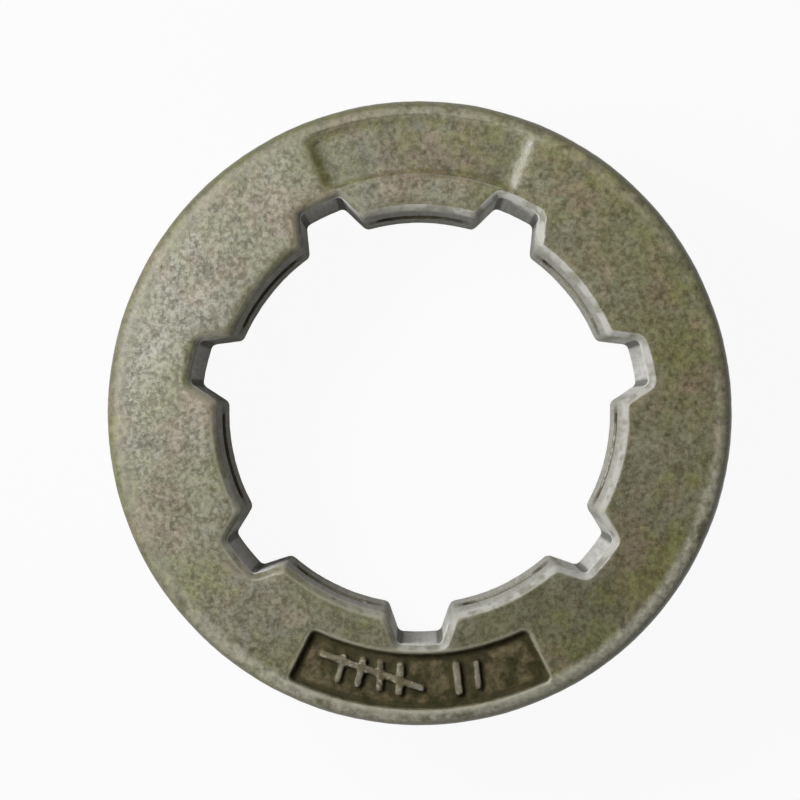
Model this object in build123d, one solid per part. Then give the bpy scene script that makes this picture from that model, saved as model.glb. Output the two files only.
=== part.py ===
"""Rim sprocket of a chainsaw: one steel casting that floats on a splined clutch hub and drives the saw chain.

The ring lies on its plain back face, with its axis along +Z and the face with the sunk panels up. Two flanges
carry the chain's side straps. Between them, pockets take the drive links and break through into the bore.
"""

from math import cos, degrees, radians, sin, tan
import os

from build123d import *

# Ring, in millimetres
rim_diameter = 35.0
rim_height = 12.5
rim_front_round = 0.75
rim_back_chamfer = 0.6

# Splined bore: straight-sided grooves between lands that lie on the minor diameter
spline_count = 7
spline_minor_diameter = 22.6
spline_groove_depth = 1.65
spline_groove_mouth = 3.6
spline_groove_floor = 2.4
spline_root_round = 0.3
spline_land_round = 0.4
bore_lead_chamfer = 0.35
first_groove_angle = -90.0

# Drive-link pockets: each narrows from a long mouth in the rim to a window in a land of the bore
pocket_count = 7
pocket_width = 3.2
pocket_mouth_length = 10.2
pocket_window_length = 5.1
pocket_corner_round = 0.8
pocket_mouth_chamfer = 0.25

# Sunk panels in the upper face, on opposite sides of the bore
panel_inner_lip = 0.12
panel_outer_lip = 0.1
panel_corner_round = 0.3
panel_wall_draft = 25.0
wide_panel_angle = -90.0
wide_panel_half_span = 26.5
wide_panel_depth = 0.5
narrow_panel_angle = 90.0
narrow_panel_half_span = 22.5
narrow_panel_depth = 0.2

rim_radius = rim_diameter / 2
minor_radius = spline_minor_diameter / 2
major_radius = minor_radius + spline_groove_depth
groove_pitch = 360 / spline_count
pocket_pitch = 360 / pocket_count
first_pocket_angle = first_groove_angle + groove_pitch / 2


def distance_from_axis(point):
    """Distance of a point from the ring's axis."""
    return (point.X**2 + point.Y**2) ** 0.5


def radial_trapezium(inner, inner_width, outer, outer_width, overrun):
    """Face along +X with straight flanks, as wide as given at two radii and run on past both."""
    spread = (outer_width - inner_width) / 2 / (outer - inner) * overrun
    near, near_half = inner - overrun, inner_width / 2 - spread
    far, far_half = outer + overrun, outer_width / 2 + spread
    corners = [(near, -near_half), (far, -far_half), (far, far_half), (near, near_half)]
    return make_face(Polyline(*corners, close=True))


def annular_sector(inner, outer, half_span, corner_round):
    """Face about +X between two arcs and two radial ends, with rounded corners."""
    across, along = cos(radians(half_span)), sin(radians(half_span))
    right_end = Line((inner * across, -inner * along), (outer * across, -outer * along))
    left_end = Line((outer * across, outer * along), (inner * across, inner * along))
    outer_side = ThreePointArc(right_end @ 1, (outer, 0), left_end @ 0)
    inner_side = ThreePointArc(left_end @ 1, (inner, 0), right_end @ 0)
    sector = make_face([right_end, outer_side, left_end, inner_side])
    return fillet(sector.vertices(), corner_round)


def ring_blank():
    """Plain disc with its upper edge rounded and its lower edge chamfered."""
    disc = Cylinder(rim_radius, rim_height, align=(Align.CENTER, Align.CENTER, Align.MIN))
    disc = chamfer(disc.edges().sort_by(Axis.Z)[0], rim_back_chamfer)
    return fillet(disc.edges().sort_by(Axis.Z)[-1], rim_front_round)


def bore_outline():
    """Outline of the splined bore, with rounded groove roots and land corners."""
    flanks = radial_trapezium(
        minor_radius, spline_groove_mouth, major_radius, spline_groove_floor, spline_root_round)
    groove = flanks & Circle(major_radius)
    outline = Circle(minor_radius)
    for number in range(spline_count):
        outline += Rot(0, 0, first_groove_angle + number * groove_pitch) * groove
    middle_radius = (minor_radius + major_radius) / 2
    roots = [corner for corner in outline.vertices() if distance_from_axis(corner) > middle_radius]
    outline = fillet(roots, spline_root_round)
    lands = [corner for corner in outline.vertices() if distance_from_axis(corner) < middle_radius]
    return fillet(lands, spline_land_round)


def splined_ring():
    """Ring with its splined bore, chamfered at both faces."""
    ring = ring_blank() - extrude(bore_outline(), rim_height)
    faces = ring.faces().filter_by(GeomType.PLANE).filter_by(Axis.Z)
    bore_edges = [edge for face in faces for edge in face.inner_wires()[0].edges()]
    return chamfer(bore_edges, bore_lead_chamfer)


def drive_link_pocket():
    """One pocket, along +X: a slot between the flanges, from inside the bore to outside the rim."""
    outline = radial_trapezium(
        minor_radius, pocket_window_length, rim_radius, pocket_mouth_length, pocket_corner_round)
    slot = extrude(outline, pocket_width / 2, both=True)
    flank_edges = slot.edges().filter_by(Axis.Z, reverse=True).filter_by(Axis.Y, reverse=True)
    return Pos(0, 0, rim_height / 2) * fillet(flank_edges, pocket_corner_round)


def sunk_panel(angle, half_span, depth):
    """Annular sector sunk into the upper face, with walls that lean in towards its floor."""
    inner = major_radius + bore_lead_chamfer + panel_inner_lip
    outer = rim_radius - rim_front_round - panel_outer_lip
    lean = depth * tan(radians(panel_wall_draft))
    mouth = annular_sector(inner, outer, half_span, panel_corner_round)
    floor = annular_sector(inner + lean, outer - lean, half_span - degrees(lean / outer), panel_corner_round)
    panel = loft([Pos(0, 0, rim_height - depth) * floor, Pos(0, 0, rim_height) * mouth], ruled=True)
    return Rot(0, 0, angle) * panel


def pocketed(ring):
    """The ring with its drive-link pockets, whose mouths are chamfered where they leave the rim."""
    for number in range(pocket_count):
        ring -= Rot(0, 0, first_pocket_angle + number * pocket_pitch) * drive_link_pocket()
    lowest = (rim_height - pocket_width) / 2 - pocket_mouth_chamfer
    edges = ring.edges().filter_by_position(Axis.Z, lowest, rim_height - lowest)
    rim_surface = rim_radius - pocket_mouth_chamfer
    mouth_edges = [edge for edge in edges if distance_from_axis(edge @ 0.5) > rim_surface]
    return chamfer(mouth_edges, pocket_mouth_chamfer)


def rim_sprocket():
    """The whole casting: the splined ring, less its pockets and panels."""
    ring = pocketed(splined_ring())
    ring -= sunk_panel(wide_panel_angle, wide_panel_half_span, wide_panel_depth)
    ring -= sunk_panel(narrow_panel_angle, narrow_panel_half_span, narrow_panel_depth)
    return ring


os.makedirs("parts", exist_ok=True)
export_step(rim_sprocket(), "parts/rim_sprocket.step")
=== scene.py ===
"""Looks of a chainsaw rim sprocket: one steel casting with a grainy oxide skin, on a plain pale floor."""

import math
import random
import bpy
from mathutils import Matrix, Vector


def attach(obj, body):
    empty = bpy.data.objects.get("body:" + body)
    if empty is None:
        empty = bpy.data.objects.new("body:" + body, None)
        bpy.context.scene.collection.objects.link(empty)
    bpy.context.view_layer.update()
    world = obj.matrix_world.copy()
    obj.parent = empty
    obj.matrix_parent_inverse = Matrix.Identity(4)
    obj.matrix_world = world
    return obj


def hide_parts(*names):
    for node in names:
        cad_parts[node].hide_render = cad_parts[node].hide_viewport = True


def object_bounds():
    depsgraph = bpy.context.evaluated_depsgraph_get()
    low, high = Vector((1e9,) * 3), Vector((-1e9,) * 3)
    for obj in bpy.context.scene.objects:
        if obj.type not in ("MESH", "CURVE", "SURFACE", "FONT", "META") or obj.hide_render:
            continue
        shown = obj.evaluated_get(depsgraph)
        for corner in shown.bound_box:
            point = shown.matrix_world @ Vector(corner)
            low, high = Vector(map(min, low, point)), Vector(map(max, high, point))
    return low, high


bl_info = {
    "name": "Rim Sprocket",
    "version": (1, 0, 0),
    "blender": (4, 5, 0),
    "location": "View3D > Sidebar > Sprocket",
    "description": "Dresses the rim sprocket's casting and sets up its studio",
    "category": "Add Mesh",
}

import bmesh
import bpy
import numpy as np
from bpy.props import FloatProperty, FloatVectorProperty, IntProperty, PointerProperty
from mathutils import Matrix, Vector, noise

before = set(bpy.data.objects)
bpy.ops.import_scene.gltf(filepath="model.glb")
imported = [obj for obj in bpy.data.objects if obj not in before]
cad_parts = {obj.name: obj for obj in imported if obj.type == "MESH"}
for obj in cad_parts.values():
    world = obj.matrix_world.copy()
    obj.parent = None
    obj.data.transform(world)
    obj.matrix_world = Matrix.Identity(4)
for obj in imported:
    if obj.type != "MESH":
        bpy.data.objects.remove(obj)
cad_box = [list(corner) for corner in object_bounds()]

RING_NODE = "rim_sprocket"
MM = 0.001
RIM_HEIGHT = cad_box[1][2]
POCKETS = 7

# Making of the mesh, in millimetres
WELD_DISTANCE = 1e-4
EDGE_SOFTNESS = 0.5
BEND_PASSES = 6
LEAST_FACES = 1000
GRAIN_OFFSET = Vector((31.7, 11.3, 5.9))
EASED_FROM_Y = 11.0
EASED_DEPTH = 0.35
EASED_RADII = (13.32, 16.72)

# Tally strokes: places along the panel in pitches, a stroke's foot and top as shares of its width,
# and the ranges in which one upright differs from the next
TALLY_MIDDLE = -math.pi / 2
TALLY_SEED = 7
UPRIGHT_PLACES = (-4.0, -3.0, -2.0, -1.0, 1.9, 2.9)
UPRIGHT_LEAN = (-0.3, 0.3)
UPRIGHT_SCALE = (0.88, 1.14)
UPRIGHT_SHIFT = (-0.09, 0.09)
UPRIGHT_RISE = (-0.05, 0.04)
CROSS_PLACES = (-5.1, 0.1)
CROSS_REACH = 0.62
CROSS_DROP = 0.03
STROKE_ROOT = 0.3
STROKE_FOOT = 0.58
STROKE_TOP = 0.38
STROKE_END_STEPS = 6

# Where the finish changes: a mask is 0 at the first value and 1 at the second. Radii, heights, depths below
# the face and places along x and y are in millimetres. A surface's level is 1 where it lies flat, 0 upright.
RIM_INNER = (16.25, 16.75)
RIM_OUTER = (17.15, 17.42)
RIM_FOOT = (10.5, 11.0)
RIM_LIGHTER_SIDE = (1.0, 15.0)
# Painted light: the skin is made paler across this band, towards the right and the top.
PAINTED_LIGHT_SIDE = (2.0, 12.0)
DAMP_RADIUS = (12.6, 14.2)
BORE_LIP = (13.28, 13.40)
GROOVE_RADIUS = (11.5, 12.2)
WALL_LEVEL = (0.30, 0.62)
LEAD_LEVEL = (0.90, 0.985)
# Painted light: the bore's lead edges are made paler towards the right, where the lamp lights them.
LEAD_LIT_SIDE = (-6.0, 4.0)
CLEAN_SIDE = (-1.0, 1.0)
CLEAN_HEIGHT = (11.2, 11.8)
PANEL_INNER = (13.35, 13.45)
PANEL_OUTER = (16.6, 16.75)
PANEL_END = (0.65, 0.80)
WIDE_SIDE = (-11.0, -10.0)
WIDE_FLOOR = (0.20, 0.40)
SMEAR_DEPTH = (0.08, 0.16)
STROKE_HEAD = (0.24, 0.36)
NARROW_SIDE = (9.5, 11.0)
NARROW_FLOOR = (0.09, 0.17)
POCKET_SINE = (-0.40, -0.10)
POCKET_FLOOR = (4.50, 4.70)
POCKET_ROOF = (7.80, 8.00)
POCKET_INNER = (11.22, 11.34)
POCKET_OUTER = (16.80, 17.30)
OIL_RIM = (16.1, 16.7)
OIL_TILT = (0.008, 0.030)

# Levels of the noises, and of the surface's bend, between which a stain, wear or oil comes in
GREY_LEVEL = (0.40, 0.60)
BROWN_LEVEL = (0.46, 0.60)
DAMP_LEVEL = (0.49, 0.64)
SPECK_LEVEL = (0.36, 0.54)
RUB_LEVEL = (0.28, 0.52)
NARROW_MOSS_LEVEL = (0.40, 0.62)
LEAD_WEAR_LEVEL = (0.36, 0.56)
SMEAR_LEVEL = (0.88, 1.10)
CAKE_LEVEL = (0.30, 0.70)
GLINT_LEVEL = (0.52, 0.64)
OIL_LEVEL = (0.38, 0.64)
EDGE_WEAR_BEND = (0.5, 1.8)
GLINT_BEND = (0.4, 1.4)
CORNER_BEND = (0.15, 1.0)
OIL_BEND = (0.25, 0.90)

# Most that a stain, wear, dirt or painted shade covers what lies under it
MOSS_COVER = 0.8
NARROW_MOSS_COVER = 0.6
SPECK_COVER = 0.7
RUB_COVER = 0.9
STEEL_COVER = 0.9
EDGE_WEAR_COVER = 0.55
DIRT_COVER = 0.92
# Pocket dirt, partly painted shade.
POCKET_DIRT_AND_SHADE = 0.72
GLINT_COVER = 0.7
CORNER_COVER = 0.7

# Share of its place along each axis that the bore's streak noise reads, which draws it out along the axis
STREAK_STRETCH = (1.0, 1.0, 0.04)

BUMP_STRENGTH = 0.32
BUMP_DISTANCE = 0.09 * MM

# The bore's walls and the wide panel take the duller material, in millimetres
DULL_BORE_RADIUS = 13.3
DULL_BORE_LEVEL = 0.94
DULL_PANEL_RADII = (13.4, 16.7)
DULL_PANEL_DEPTHS = (0.15, 0.8)
DULL_PANEL_UP_TO_Y = -10.0

# Stage
IMAGE_SIZE = 800
SENSOR_WIDTH = 36.0
CLIP_NEAR = 0.01
CLIP_FAR = 20.0
FLOOR_SEGMENTS = 96
SKY_RISE = (0.0, 0.40)
WHITE_RISE = (0.05, 0.40)
WHITE = (1.0, 1.0, 1.0)


def length(name, description, default):
    """A property that holds a length in metres."""
    return FloatProperty(name=name, description=description, default=default, unit="LENGTH", precision=6)


def power(name, description, default):
    """A property that holds a lamp's power in watts."""
    return FloatProperty(name=name, description=description, default=default, unit="POWER")


def number(name, description, default):
    """A property that holds a plain number."""
    return FloatProperty(name=name, description=description, default=default)


def count(name, description, default):
    """A property that holds a whole number."""
    return IntProperty(name=name, description=description, default=default)


def point(name, description, default):
    """A property that holds a point in metres."""
    return FloatVectorProperty(name=name, description=description, default=default, subtype="TRANSLATION")


def colour(name, description, default):
    """A property that holds a linear colour."""
    return FloatVectorProperty(
        name=name, description=description, default=default, subtype="COLOR", size=3, min=0.0, max=1.0
    )


class CastingShape(bpy.types.PropertyGroup):
    """Sizes of the casting's skin: how soft its edges are and how rough its faces."""

    voxel: length("Voxel", "Size of the cells that the casting is remeshed with", 0.10 * MM)
    soft_passes: count("Soft passes", "Smoothing passes that round every edge", 3)
    panel_passes: count("Panel passes", "Smoothing passes of the narrow panel", 22)
    swell_length: length("Swell length", "Distance between the slow swells of the skin", 2.6 * MM)
    swell_height: length("Swell height", "Height of the slow swells", 0.024 * MM)
    grain_length: length("Grain length", "Distance between the grains of the skin", 0.42 * MM)
    grain_height: length("Grain height", "Height of the grains", 0.010 * MM)
    triangles: count("Triangles", "Triangles that the finished mesh may have", 190000)


class TallyShape(bpy.types.PropertyGroup):
    """Sizes of the seven raised tally strokes in the wide panel, one for each pocket."""

    floor_depth: length("Floor depth", "Depth of the panel's floor below the face", 0.50 * MM)
    rise: length("Rise", "Height of a stroke above the panel's floor", 0.34 * MM)
    stroke_width: length("Stroke width", "Width of a stroke", 0.46 * MM)
    stroke_length: length("Stroke length", "Length of an upright stroke", 1.40 * MM)
    radius: length("Radius", "Distance of the strokes' middles from the axis", 14.95 * MM)
    pitch: FloatProperty(
        name="Pitch", description="Angle between strokes", default=math.radians(4.3), subtype="ANGLE"
    )


class CastingFinish(bpy.types.PropertyGroup):
    """Colours of the casting's skin and worn places, and the gloss of its films."""

    olive: colour("Olive", "Oxide skin, olive parts", (0.112, 0.112, 0.042))
    grey: colour("Grey", "Oxide skin, grey parts", (0.122, 0.118, 0.068))
    brown: colour("Brown", "Oxide skin, brown parts", (0.146, 0.112, 0.062))
    speck: colour("Speck", "Dark specks in the skin", (0.128, 0.108, 0.046))
    moss: colour("Moss", "Oxide skin, yellow-green stains", (0.110, 0.116, 0.022))
    rubbed: colour("Rubbed", "Steel on the rubbed outer edge", (0.310, 0.300, 0.230))
    worn: colour("Worn", "Rubbed steel on the bore's lead edges", (0.420, 0.415, 0.385))
    # These two dirt colours also darken the pockets as painted shade, and the second darkens concave corners.
    grime_and_shade: colour("Grime", "Dried oil in the wide panel and the pockets", (0.118, 0.094, 0.052))
    soot_and_shade: colour("Soot", "Black dirt in the wide panel, the pockets and the corners", (0.026, 0.025, 0.010))
    land: colour("Land", "Steel of the bore's lands", (0.425, 0.418, 0.375))
    groove: colour("Groove", "Steel of the spline grooves", (0.640, 0.632, 0.605))
    skin_ior: number("Skin IOR", "Refraction index of the oxide skin", 1.68)
    oil_ior: number("Oil IOR", "Refraction index of the oil flecks", 1.72)
    oil_roughness: number("Oil roughness", "Roughness of the oil flecks", 0.42)
    dull_ior: number("Dull IOR", "Refraction index of the bore's and wide panel's film", 1.2)


class StageLayout(bpy.types.PropertyGroup):
    """Camera, lamps and floor."""

    camera_height: length("Camera height", "Height of the camera above the floor, on the axis", 0.2015)
    focal_length: number("Focal length", "Lens in millimetres", 152.3)
    shift_right: number("Shift right", "Pixels that the ring sits right of the middle", 19.7)
    shift_down: number("Shift down", "Pixels that the ring sits below the middle", 13.2)
    key_place: point("Key place", "Place of the key lamp", (-0.0480, 0.0214, 0.077))
    key_width: length("Key width", "Width of the key lamp, across its beam", 0.050)
    key_height: length("Key height", "Height of the key lamp", 0.030)
    key_power: power("Key power", "Power of the key lamp", 0.104)
    fill_place: point("Fill place", "Place of the fill lamp", (-0.110, -0.150, 0.150))
    fill_width: length("Fill width", "Width of the fill lamp", 0.120)
    fill_height: length("Fill height", "Height of the fill lamp", 0.120)
    fill_power: power("Fill power", "Power of the fill lamp", 0.055)
    floor_radius: length("Floor radius", "Radius of the floor's disc", 3.0)
    floor_tint: colour("Floor tint", "Colour of the floor", (0.40, 0.40, 0.40))
    floor_white: number("Floor white", "Share of plain white in the floor", 0.94)
    sky_top: colour("Sky top", "Light from straight above", (0.04, 0.04, 0.04))
    sky_side: colour("Sky side", "Light from the sides", (0.40, 0.40, 0.40))


class Wire:
    """A socket's value for use in Python expressions, where each operation adds a Math node."""

    def __init__(self, sheet, socket):
        self.sheet = sheet
        self.socket = socket

    def maths(self, operation, first, second=None):
        """Adds a Math node and returns its result."""
        return self.sheet.add("ShaderNodeMath", {"operation": operation}, {0: first, 1: second})

    def __add__(self, other):
        return self.maths("ADD", self, other)

    def __radd__(self, other):
        return self.maths("ADD", other, self)

    def __sub__(self, other):
        return self.maths("SUBTRACT", self, other)

    def __rsub__(self, other):
        return self.maths("SUBTRACT", other, self)

    def __mul__(self, other):
        return self.maths("MULTIPLY", self, other)

    def __rmul__(self, other):
        return self.maths("MULTIPLY", other, self)

    def __pow__(self, other):
        return self.maths("POWER", self, other)

    def upper(self, other):
        """The larger of two values."""
        return self.maths("MAXIMUM", self, other)

    def size(self):
        """The value without its sign."""
        return self.maths("ABSOLUTE", self)

    def turn(self, across):
        """The angle of a point with this height and that distance across."""
        return self.maths("ARCTAN2", self, across)

    def sine(self):
        """The sine of the value as an angle."""
        return self.maths("SINE", self)


class NodeSheet:
    """The node tree of a material or world, filled from Python expressions."""

    def __init__(self, tree):
        self.tree = tree
        tree.nodes.clear()

    def add(self, kind, settings=None, sockets=None, output=0):
        """Adds a node, makes its settings, gives its sockets values or links, and returns an output."""
        node = self.tree.nodes.new(kind)
        for name, value in (settings or {}).items():
            setattr(node, name, value)
        for key, value in (sockets or {}).items():
            if isinstance(value, Wire):
                self.tree.links.new(value.socket, node.inputs[key])
            elif value is not None:
                node.inputs[key].default_value = value
        return Wire(self, node.outputs[output]) if len(node.outputs) else None

    def blend(self, factor, first, second, mode="MIX"):
        """Mixes two colours."""
        settings = {"data_type": "RGBA", "blend_type": mode}
        first = first if isinstance(first, Wire) else (*first, 1.0)
        second = second if isinstance(second, Wire) else (*second, 1.0)
        return self.add("ShaderNodeMix", settings, {0: factor, 6: first, 7: second}, 2)

    def toned(self, paint, tone):
        """A colour made darker or lighter by a tone, which leaves it as it is at 1."""
        tint = self.add("ShaderNodeCombineColor", None, {0: tone, 1: tone, 2: tone})
        return self.blend(1.0, paint, tint, "MULTIPLY")

    def rise(self, value, start, end):
        """Goes smoothly from 0 at start to 1 at end."""
        settings = {"interpolation_type": "SMOOTHSTEP"}
        return self.add("ShaderNodeMapRange", settings, {"Value": value, "From Min": start, "From Max": end})

    def fall(self, value, start, end):
        """Goes smoothly from 1 at start to 0 at end."""
        return 1 - self.rise(value, start, end)

    def grain(self, place, size, detail, roughness, seed):
        """Noise from 0 to 1 whose features are about that size."""
        sockets = {"Vector": place, "W": seed, "Scale": 1.0 / size, "Detail": detail, "Roughness": roughness}
        return self.add("ShaderNodeTexNoise", {"noise_dimensions": "4D"}, sockets, "Fac")

    def split(self, vector):
        """The three parts of a vector."""
        return [self.add("ShaderNodeSeparateXYZ", None, {0: vector}, part) for part in range(3)]


class Spot:
    """A shaded point of the casting: its place in millimetres, how its surface lies, and its fine noises."""

    def __init__(self, sheet):
        in_metres = sheet.add("ShaderNodeTexCoord", None, None, "Object")
        scaled = {0: in_metres, "Scale": 1 / MM}
        self.place = sheet.add("ShaderNodeVectorMath", {"operation": "SCALE"}, scaled)
        self.x, self.y, self.z = sheet.split(self.place)
        self.radius = (self.x * self.x + self.y * self.y) ** 0.5
        self.depth = RIM_HEIGHT / MM - self.z
        self.level = sheet.split(sheet.add("ShaderNodeTexCoord", None, None, "Normal"))[2].size()
        self.bend = sheet.add("ShaderNodeAttribute", {"attribute_name": "bend"}, None, "Fac")
        self.mottle = sheet.grain(self.place, size=0.85, detail=2.0, roughness=0.60, seed=4.0)
        self.speckle = sheet.grain(self.place, size=0.27, detail=3.0, roughness=0.65, seed=5.0)
        self.flecks = sheet.grain(self.place, size=0.24, detail=2.0, roughness=0.60, seed=6.0)
        self.blotch = self.mottle - 0.5
        self.grit = self.speckle - 0.5

    def patchy(self, cover):
        """A cover that varies a little from place to place."""
        return cover + 0.4 * self.blotch


class Zones:
    """Masks of the casting's places, 1 inside and 0 outside."""

    def __init__(self, sheet, spot):
        radius, depth, y, z = spot.radius, spot.depth, spot.y, spot.z
        on_round = sheet.rise(radius, *RIM_INNER) * sheet.fall(radius, *RIM_OUTER)
        self.rim = on_round * sheet.rise(z, *RIM_FOOT)

        by_bore = sheet.fall(radius, *BORE_LIP)
        self.bore = by_bore * sheet.fall(spot.level, *WALL_LEVEL)
        self.lead = by_bore * sheet.fall(spot.level, *LEAD_LEVEL) * (1 - self.bore)

        above_pockets = sheet.fall(depth, *PANEL_END)
        self.narrow_panel = sheet.rise(depth, *NARROW_FLOOR) * above_pockets * sheet.rise(y, *NARROW_SIDE)
        floor = sheet.rise(depth, *WIDE_FLOOR)
        smear = sheet.rise(spot.mottle + spot.speckle, *SMEAR_LEVEL)
        smear = sheet.rise(depth, *SMEAR_DEPTH) * (0.25 + 0.6 * smear)
        sunk = (floor + smear * (1 - floor)) * above_pockets
        sunk = sunk * sheet.rise(radius, *PANEL_INNER) * sheet.fall(radius, *PANEL_OUTER)
        self.wide_panel = sunk * sheet.fall(y, *WIDE_SIDE)

        by_pocket = sheet.rise((y.turn(spot.x) * POCKETS).sine() * -1.0, *POCKET_SINE)
        between = sheet.rise(z, *POCKET_FLOOR) * sheet.fall(z, *POCKET_ROOF)
        in_ring = sheet.rise(radius, *POCKET_INNER) * sheet.fall(radius, *POCKET_OUTER)
        self.pocket = by_pocket * between * in_ring

        self.marked = 1 - sheet.rise(y, *CLEAN_SIDE) * sheet.rise(z, *CLEAN_HEIGHT)


def polar(radius, angle, height=0.0):
    """A point at a distance and angle from the axis."""
    return Vector((radius * math.cos(angle), radius * math.sin(angle), height))


def add_stroke(work, start, end, width, low, high):
    """Adds a raised stroke with round ends and slightly sloping sides to a bmesh."""
    along = (end - start).normalized()
    across = Vector((-along.y, along.x, 0.0))
    half_turn = [math.pi * step / STROKE_END_STEPS for step in range(STROKE_END_STEPS + 1)]
    rings = []
    for half_width, height in ((width * STROKE_FOOT, low), (width * STROKE_TOP, high)):
        far = [end + (along * math.sin(a) + across * math.cos(a)) * half_width for a in half_turn]
        near = [start - (along * math.sin(a) + across * math.cos(a)) * half_width for a in half_turn]
        rings.append([work.verts.new((p.x, p.y, height)) for p in far + near])
    lower_ring, upper_ring = rings
    work.faces.new(lower_ring)
    work.faces.new(upper_ring[::-1])
    corners = len(lower_ring)
    for index in range(corners):
        after = (index + 1) % corners
        work.faces.new((lower_ring[after], lower_ring[index], upper_ring[index], upper_ring[after]))


def add_tally(work, tally):
    """Adds the tally to a bmesh in millimetres: four uprights crossed by a fifth stroke, then two more."""
    radius, half, width = tally.radius / MM, tally.stroke_length / MM / 2, tally.stroke_width / MM
    floor = (RIM_HEIGHT - tally.floor_depth) / MM
    low, high = floor - STROKE_ROOT, floor + tally.rise / MM
    uneven = random.Random(TALLY_SEED)
    for upright in UPRIGHT_PLACES:
        angle = TALLY_MIDDLE + tally.pitch * upright
        lean = uneven.uniform(*UPRIGHT_LEAN) * tally.pitch / 4
        scale = uneven.uniform(*UPRIGHT_SCALE)
        shift = uneven.uniform(*UPRIGHT_SHIFT)
        start = polar(radius + shift - half, angle + lean)
        end = polar(radius + shift + half * scale, angle - lean)
        add_stroke(work, start, end, width * scale, low, high + uneven.uniform(*UPRIGHT_RISE))
    first, last = (TALLY_MIDDLE + tally.pitch * end for end in CROSS_PLACES)
    reach = CROSS_REACH * half
    add_stroke(work, polar(radius - reach, first), polar(radius + reach, last), width, low, high - CROSS_DROP)


def evaluated(work, mesh_name):
    """The mesh of an object with its modifiers applied."""
    seen = work.evaluated_get(bpy.context.evaluated_depsgraph_get())
    mesh = bpy.data.meshes.new_from_object(seen)
    mesh.name = mesh_name
    return mesh


def vertex_values(mesh, name):
    """A vector of each vertex as rows of an array."""
    values = np.empty(len(mesh.vertices) * 3)
    mesh.vertices.foreach_get(name, values)
    return values.reshape(-1, 3)


def edge_ends(mesh):
    """The first and the second vertex of each edge."""
    ends = np.empty(len(mesh.edges) * 2, dtype=np.int64)
    mesh.edges.foreach_get("vertices", ends)
    return ends.reshape(-1, 2).T


def neighbour_sums(first, second, values):
    """For each vertex, the sum of the values at the other ends of its edges."""
    total = len(values)
    return np.bincount(first, values[second], total) + np.bincount(second, values[first], total)


def surface_bend(mesh):
    """How sharply the surface bends at each vertex: above 0 on edges, below 0 in corners."""
    places, normals = vertex_values(mesh, "co"), vertex_values(mesh, "normal")
    first, second = edge_ends(mesh)
    total = len(places)
    links = neighbour_sums(first, second, np.ones(total))
    step = places[second] - places[first]
    square = (step**2).sum(1)
    at_first = -2 * (normals[first] * step).sum(1) / square
    at_second = 2 * (normals[second] * step).sum(1) / square
    bend = (np.bincount(first, at_first, total) + np.bincount(second, at_second, total)) / links
    for _ in range(BEND_PASSES):
        bend = (bend + neighbour_sums(first, second, bend) / links) / 2
    return bend


def ease_narrow_panel(mesh, passes):
    """Blurs the narrow panel's edges in a mesh in millimetres, as a worn pattern leaves them."""
    places = vertex_values(mesh, "co")
    radius = np.hypot(places[:, 0], places[:, 1])
    height = places[:, 2].copy()
    eased = (places[:, 1] > EASED_FROM_Y) & (height > RIM_HEIGHT / MM - EASED_DEPTH)
    eased &= (radius > EASED_RADII[0]) & (radius < EASED_RADII[1])
    first, second = edge_ends(mesh)
    near = eased[first] | eased[second]
    first, second = first[near], second[near]
    links = np.maximum(neighbour_sums(first, second, np.ones(len(places))), 1)
    for _ in range(passes):
        height = np.where(eased, (height + neighbour_sums(first, second, height) / links) / 2, height)
    places[:, 2] = height
    mesh.vertices.foreach_set("co", places.ravel())
    mesh.update()


def roughen(mesh, shape):
    """Gives a mesh in millimetres the swells and grains of a cast skin, with its back flat on the floor."""
    places, normals = vertex_values(mesh, "co"), vertex_values(mesh, "normal")
    swell_length, grain_length = shape.swell_length / MM, shape.grain_length / MM
    swells = np.array([noise.noise(Vector(p) / swell_length) for p in places])
    grains = np.array([noise.noise(Vector(p) / grain_length + GRAIN_OFFSET) for p in places])
    heights = shape.swell_height / MM * swells + shape.grain_height / MM * grains
    moved = places + normals * heights[:, None]
    moved[:, 2] = np.maximum(moved[:, 2], 0.0)
    mesh.vertices.foreach_set("co", moved.ravel())
    mesh.update()


def casting_mesh(shape, tally):
    """The ring remeshed in millimetres with soft edges, tally and cast skin, brought back to metres."""
    work_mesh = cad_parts[RING_NODE].data.copy()
    work_mesh.transform(Matrix.Scale(1 / MM, 4))
    work = bmesh.new()
    work.from_mesh(work_mesh)
    bmesh.ops.remove_doubles(work, verts=work.verts, dist=WELD_DISTANCE)
    add_tally(work, tally)
    work.to_mesh(work_mesh)
    work.free()
    ring = link(bpy.data.objects.new("ring_work", work_mesh))
    remesh = ring.modifiers.new("Remesh", "REMESH")
    remesh.mode = "VOXEL"
    remesh.voxel_size = shape.voxel / MM
    soften = ring.modifiers.new("Soften", "SMOOTH")
    soften.factor = EDGE_SOFTNESS
    soften.iterations = shape.soft_passes
    dense = evaluated(ring, "ring_dense")
    ring.modifiers.clear()
    ring.data = dense
    ease_narrow_panel(dense, shape.panel_passes)
    bend = surface_bend(dense)
    dense.attributes.new("bend", "FLOAT", "POINT").data.foreach_set("value", bend.astype(np.float32))
    roughen(dense, shape)
    thin = ring.modifiers.new("Thin", "DECIMATE")
    thin.ratio = min(1.0, shape.triangles / (2 * len(dense.polygons)))
    final = evaluated(ring, "casting")
    bpy.data.objects.remove(ring)
    bpy.data.meshes.remove(dense)
    bpy.data.meshes.remove(work_mesh)
    final.transform(Matrix.Scale(MM, 4))
    final.polygons.foreach_set("use_smooth", np.ones(len(final.polygons), dtype=bool))
    return final


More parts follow.
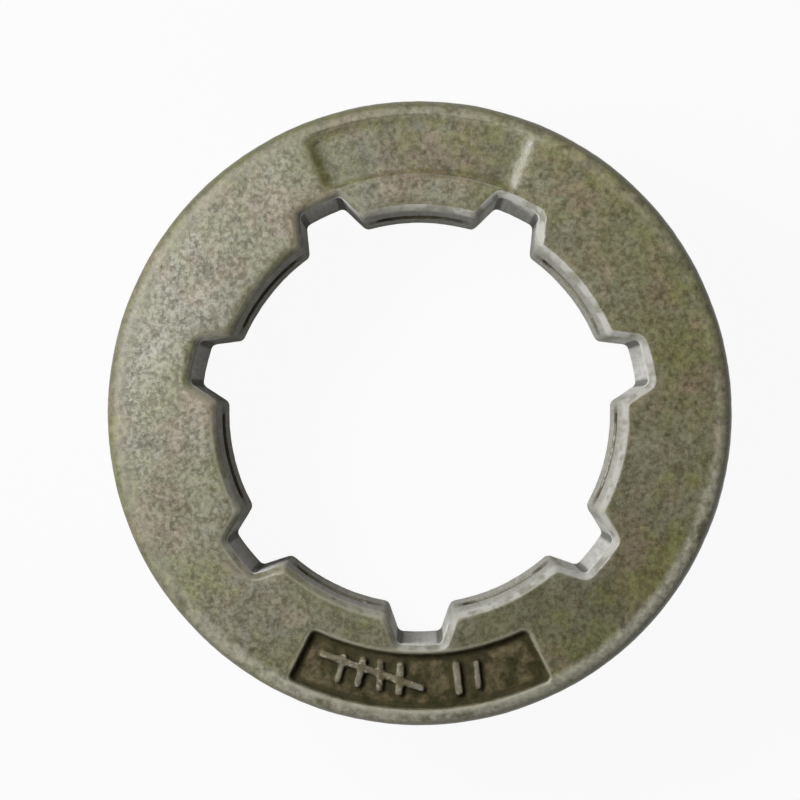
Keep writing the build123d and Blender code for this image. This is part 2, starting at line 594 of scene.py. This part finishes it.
def oxide_skin(sheet, spot, zones, finish):
    """Olive and grey oxide with stains, dark specks and a rubbed rim that is lighter towards the bottom and
    the right, and with painted light that makes the skin paler towards the right and the top.
    """
    patches = sheet.grain(spot.place, size=5.0, detail=3.0, roughness=0.6, seed=1.0)
    stains = sheet.grain(spot.place, size=4.2, detail=3.0, roughness=0.6, seed=2.0)
    rust = sheet.grain(spot.place, size=3.6, detail=3.0, roughness=0.6, seed=3.0)
    skin = sheet.blend(sheet.rise(patches, *GREY_LEVEL), finish.olive, finish.grey)
    skin = sheet.blend(sheet.rise(rust + 0.25 * spot.blotch, *BROWN_LEVEL), skin, finish.brown)

    damp_side = 0.006 * (0.5 * spot.x - 0.8 * spot.y)
    damp = stains + 0.2 * spot.blotch + damp_side - 0.14 * sheet.fall(spot.radius, *DAMP_RADIUS)
    skin = sheet.blend(sheet.rise(damp, *DAMP_LEVEL) * MOSS_COVER, skin, finish.moss)
    skin = sheet.blend(sheet.fall(spot.speckle, *SPECK_LEVEL) * SPECK_COVER, skin, finish.speck)

    # The rim's rubbed band is made stronger towards the bottom and the right.
    rim_lighter_side = 0.22 + 0.78 * sheet.rise(0.30 * spot.x - 0.95 * spot.y, *RIM_LIGHTER_SIDE)
    rubbed = zones.rim * rim_lighter_side * sheet.rise(spot.mottle, *RUB_LEVEL)
    skin = sheet.blend(rubbed * RUB_COVER, skin, finish.rubbed)

    moss = zones.narrow_panel * sheet.rise(spot.mottle, *NARROW_MOSS_LEVEL)
    skin = sheet.blend(moss * NARROW_MOSS_COVER, skin, finish.moss)
    # Painted light: the skin's tone rises towards the right and the top to even out the lamp's light; it is
    # also darker in the narrow panel.
    painted_light_side = sheet.rise(0.85 * spot.x + 0.50 * spot.y, *PAINTED_LIGHT_SIDE)
    painted_light_tone = (0.86 + 0.33 * painted_light_side) * (1 - 0.16 * zones.narrow_panel)
    return sheet.toned(skin, painted_light_tone * (1.0 + 2.4 * spot.grit + 0.7 * spot.blotch))


def bare_steel(sheet, spot, zones, finish, skin):
    """The skin with pale drawn steel on the bore's walls, worn steel on its lead edges that painted light
    makes paler towards the right, and worn steel on other edges.
    """
    steel = sheet.blend(sheet.rise(spot.radius, *GROOVE_RADIUS), finish.land, finish.groove)
    drawn = sheet.add("ShaderNodeVectorMath", {"operation": "MULTIPLY"}, {0: spot.place, 1: STREAK_STRETCH})
    streaks = sheet.grain(drawn, size=0.22, detail=2.0, roughness=0.6, seed=8.0)
    steel = sheet.toned(steel, 1.0 + 0.8 * (streaks - 0.5))
    skin = sheet.blend(zones.bore * spot.patchy(STEEL_COVER), skin, steel)
    # Worn steel on the lead edges, partly wear and partly painted light that makes them paler towards the
    # right.
    lit_side = 0.30 + 0.70 * sheet.rise(spot.x, *LEAD_LIT_SIDE)
    lead_wear_and_light = (0.45 + 0.55 * sheet.rise(spot.mottle, *LEAD_WEAR_LEVEL)) * lit_side
    skin = sheet.blend(zones.lead * lead_wear_and_light, skin, finish.worn)
    edge_wear = sheet.rise(spot.bend + 0.6 * spot.blotch, *EDGE_WEAR_BEND) * (0.10 + 0.90 * zones.marked)
    return sheet.blend(edge_wear * (1 - zones.bore) * EDGE_WEAR_COVER, skin, finish.rubbed)


def dirt_and_shade(sheet, spot, zones, finish, skin):
    """The skin with dirt in the wide panel, dark dirt in the pockets that is partly painted shade, darker
    concave corners, and glints on the tally strokes.
    """
    cake = sheet.grain(spot.place, size=0.75, detail=2.0, roughness=0.7, seed=7.0)
    filth_and_shade = sheet.blend(sheet.rise(cake, *CAKE_LEVEL), finish.soot_and_shade, finish.grime_and_shade)
    filth_and_shade = sheet.toned(filth_and_shade, 1.0 + 2.4 * spot.grit)
    skin = sheet.blend(zones.wide_panel * spot.patchy(DIRT_COVER), skin, filth_and_shade)
    stroke_edge = zones.wide_panel * sheet.fall(spot.depth, *STROKE_HEAD) * sheet.rise(spot.bend, *GLINT_BEND)
    glints = stroke_edge * sheet.rise(spot.flecks, *GLINT_LEVEL)
    skin = sheet.blend(glints * GLINT_COVER, skin, finish.worn)
    # Dark dirt in the pockets: partly oily dirt and partly painted shade in the pockets' hollow.
    skin = sheet.blend(zones.pocket * spot.patchy(POCKET_DIRT_AND_SHADE), skin, filth_and_shade)
    # Darker in concave corners, less so in the top half near the face.
    corner = sheet.rise(spot.bend * -1.0, *CORNER_BEND) * (0.05 + 0.95 * zones.marked)
    return sheet.blend(corner * CORNER_COVER, skin, finish.soot_and_shade)


def oil_sheen(sheet, spot, zones):
    """Oil in flecks on level faces, with less of it by the rim, on edges and in the narrow panel."""
    sheen = sheet.rise(spot.speckle + 0.8 * (spot.flecks - 0.5), *OIL_LEVEL)
    sheen = sheen * (1 - 0.8 * sheet.rise(spot.radius, *OIL_RIM))
    sheen = sheen * (1 - 0.8 * sheet.rise(spot.bend.size(), *OIL_BEND)) * (1 - 0.3 * zones.narrow_panel)
    return sheen * sheet.fall(1 - spot.level, *OIL_TILT)


def casting_material(name, finish, ior, oily):
    """Grainy oxide skin with worn edges, caked dirt, painted light on the skin and the lead edges, dark dirt
    in the pockets that is partly painted shade, and pale bore walls, with flecks of oil on it or none.
    """
    material = bpy.data.materials.new(name)
    material.use_nodes = True
    sheet = NodeSheet(material.node_tree)
    spot = Spot(sheet)
    zones = Zones(sheet, spot)
    skin = oxide_skin(sheet, spot, zones, finish)
    skin = bare_steel(sheet, spot, zones, finish, skin)
    skin = dirt_and_shade(sheet, spot, zones, finish, skin)
    rough = 0.44 + 0.24 * spot.blotch + 0.20 * spot.grit
    rough = rough + zones.bore * 0.45 + zones.wide_panel * 0.40 + zones.rim * 0.16
    height = 0.6 * spot.speckle + 0.4 * spot.flecks
    relief = {"Strength": BUMP_STRENGTH, "Distance": BUMP_DISTANCE, "Height": height}
    bump = sheet.add("ShaderNodeBump", None, relief)
    sockets = {"Base Color": skin, "Roughness": rough, "Metallic": 0.0, "IOR": ior, "Normal": bump}
    if oily:
        sockets["Coat Weight"] = oil_sheen(sheet, spot, zones)
        sockets["Coat Roughness"] = finish.oil_roughness
        sockets["Coat IOR"] = finish.oil_ior
    surface = sheet.add("ShaderNodeBsdfPrincipled", None, sockets)
    sheet.add("ShaderNodeOutputMaterial", None, {"Surface": surface})
    return material


def mark_dull(mesh):
    """Gives the second, duller material to the bore's walls and to the wide panel."""
    faces = len(mesh.polygons)
    centres, normals = np.empty(faces * 3), np.empty(faces * 3)
    mesh.polygons.foreach_get("center", centres)
    mesh.polygons.foreach_get("normal", normals)
    x, y, z = centres.reshape(-1, 3).T / MM
    radius, depth = np.hypot(x, y), RIM_HEIGHT / MM - z
    bore = (radius < DULL_BORE_RADIUS) & (np.abs(normals[2::3]) < DULL_BORE_LEVEL)
    panel = (radius > DULL_PANEL_RADII[0]) & (radius < DULL_PANEL_RADII[1])
    panel &= (depth > DULL_PANEL_DEPTHS[0]) & (depth < DULL_PANEL_DEPTHS[1]) & (y < DULL_PANEL_UP_TO_Y)
    mesh.polygons.foreach_set("material_index", (bore | panel).astype(np.int32))


def seen_ray(sheet):
    """1 for rays from the camera and for reflected and transmitted ones, otherwise 0."""
    names = ("Is Camera Ray", "Is Glossy Ray", "Is Transmission Ray")
    from_camera, glossy, through = (sheet.add("ShaderNodeLightPath", None, None, name) for name in names)
    return from_camera.upper(glossy).upper(through)


def floor_material(layout):
    """Matt pale floor that looks almost white to the camera and in reflections, and keeps a soft shadow."""
    material = bpy.data.materials.new("pale_floor")
    material.use_nodes = True
    sheet = NodeSheet(material.node_tree)
    paint = sheet.add("ShaderNodeBsdfDiffuse", None, {"Color": (*layout.floor_tint, 1.0)})
    white = sheet.add("ShaderNodeEmission", None, {"Color": (*WHITE, 1.0), "Strength": 1.0})
    share = seen_ray(sheet) * layout.floor_white
    mixed = sheet.add("ShaderNodeMixShader", None, {0: share, 1: paint, 2: white})
    sheet.add("ShaderNodeOutputMaterial", None, {"Surface": mixed})
    return material


def make_world(layout):
    """Studio surroundings: pale at the sides and darker above, and white to the camera."""
    world = bpy.data.worlds.new("studio")
    world.use_nodes = True
    sheet = NodeSheet(world.node_tree)
    up = sheet.split(sheet.add("ShaderNodeTexCoord", None, None, "Generated"))[2]
    sky = sheet.blend(sheet.rise(up, *SKY_RISE), layout.sky_side, layout.sky_top)
    white = sheet.blend(sheet.rise(up, *WHITE_RISE), WHITE, layout.sky_top)
    shown = sheet.blend(seen_ray(sheet), sky, white)
    background = sheet.add("ShaderNodeBackground", None, {"Color": shown, "Strength": 1.0})
    sheet.add("ShaderNodeOutputWorld", None, {"Surface": background})
    bpy.context.scene.world = world


def link(thing):
    """Puts an object into the scene."""
    bpy.context.scene.collection.objects.link(thing)
    return thing


def add_lamp(name, place, width, height, energy):
    """Adds a flat lamp that faces the middle of the ring."""
    lamp = bpy.data.lights.new(name, "AREA")
    lamp.shape = "RECTANGLE"
    lamp.size = width
    lamp.size_y = height
    lamp.energy = energy
    holder = link(bpy.data.objects.new(name, lamp))
    holder.location = place
    towards = Vector((0.0, 0.0, RIM_HEIGHT)) - holder.location
    holder.rotation_euler = towards.to_track_quat("-Z", "Y").to_euler()


def add_floor(layout):
    """Adds the floor's disc under the ring."""
    disc = bmesh.new()
    bmesh.ops.create_circle(disc, cap_ends=True, radius=layout.floor_radius, segments=FLOOR_SEGMENTS)
    floor_mesh = bpy.data.meshes.new("floor")
    disc.to_mesh(floor_mesh)
    disc.free()
    floor_mesh.materials.append(floor_material(layout))
    floor = link(bpy.data.objects.new("floor", floor_mesh))


def add_camera(layout):
    """Adds the camera above the ring, looking down along its axis."""
    lens = bpy.data.cameras.new("camera")
    lens.sensor_width = SENSOR_WIDTH
    lens.lens = layout.focal_length
    lens.shift_x = -layout.shift_right / IMAGE_SIZE
    lens.shift_y = layout.shift_down / IMAGE_SIZE
    lens.clip_start = CLIP_NEAR
    lens.clip_end = CLIP_FAR
    camera = link(bpy.data.objects.new("camera", lens))
    camera.location = (0.0, 0.0, layout.camera_height)
    bpy.context.scene.camera = camera


class SPROCKET_OT_ring(bpy.types.Operator):
    """Make the casting with its soft edges, tally strokes and skin"""

    bl_idname = "sprocket.ring"
    bl_label = "Casting"

    def execute(self, context):
        scene = context.scene
        mesh = casting_mesh(scene.sprocket_shape, scene.sprocket_tally)
        if len(mesh.polygons) < LEAST_FACES:
            raise RuntimeError("the casting's remesh came out empty")
        ring = link(bpy.data.objects.new("casting", mesh))
        mesh.materials.clear()
        finish = scene.sprocket_finish
        mesh.materials.append(casting_material("cast_skin", finish, finish.skin_ior, True))
        mesh.materials.append(casting_material("dull_film", finish, finish.dull_ior, False))
        mark_dull(mesh)
        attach(ring, "root")
        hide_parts(RING_NODE)
        return {"FINISHED"}


class SPROCKET_OT_stage(bpy.types.Operator):
    """Set the camera, the lamps and the pale floor"""

    bl_idname = "sprocket.stage"
    bl_label = "Stage"

    def execute(self, context):
        layout = context.scene.sprocket_stage
        make_world(layout)
        add_floor(layout)
        add_lamp("key", layout.key_place, layout.key_width, layout.key_height, layout.key_power)
        add_lamp("fill", layout.fill_place, layout.fill_width, layout.fill_height, layout.fill_power)
        add_camera(layout)
        context.scene.view_settings.view_transform = "Standard"
        return {"FINISHED"}


class SPROCKET_PT_panel(bpy.types.Panel):
    """Lists the sprocket's pieces and their settings"""

    bl_idname = "SPROCKET_PT_panel"
    bl_label = "Rim Sprocket"
    bl_space_type = "VIEW_3D"
    bl_region_type = "UI"
    bl_category = "Sprocket"

    def draw(self, context):
        for group in GROUPS:
            settings = getattr(context.scene, group)
            box = self.layout.box()
            for name in settings.__annotations__:
                box.prop(settings, name)
        self.layout.operator(SPROCKET_OT_ring.bl_idname)
        self.layout.operator(SPROCKET_OT_stage.bl_idname)


GROUPS = {
    "sprocket_shape": CastingShape,
    "sprocket_tally": TallyShape,
    "sprocket_finish": CastingFinish,
    "sprocket_stage": StageLayout,
}
CLASSES = (*GROUPS.values(), SPROCKET_OT_ring, SPROCKET_OT_stage, SPROCKET_PT_panel)


def register():
    for made in CLASSES:
        bpy.utils.register_class(made)
    for name, group in GROUPS.items():
        setattr(bpy.types.Scene, name, PointerProperty(type=group))


def unregister():
    for name in GROUPS:
        delattr(bpy.types.Scene, name)
    for made in reversed(CLASSES):
        bpy.utils.unregister_class(made)


def main():
    register()
    bpy.ops.sprocket.ring()
    bpy.ops.sprocket.stage()


if __name__ == "__main__":
    main()
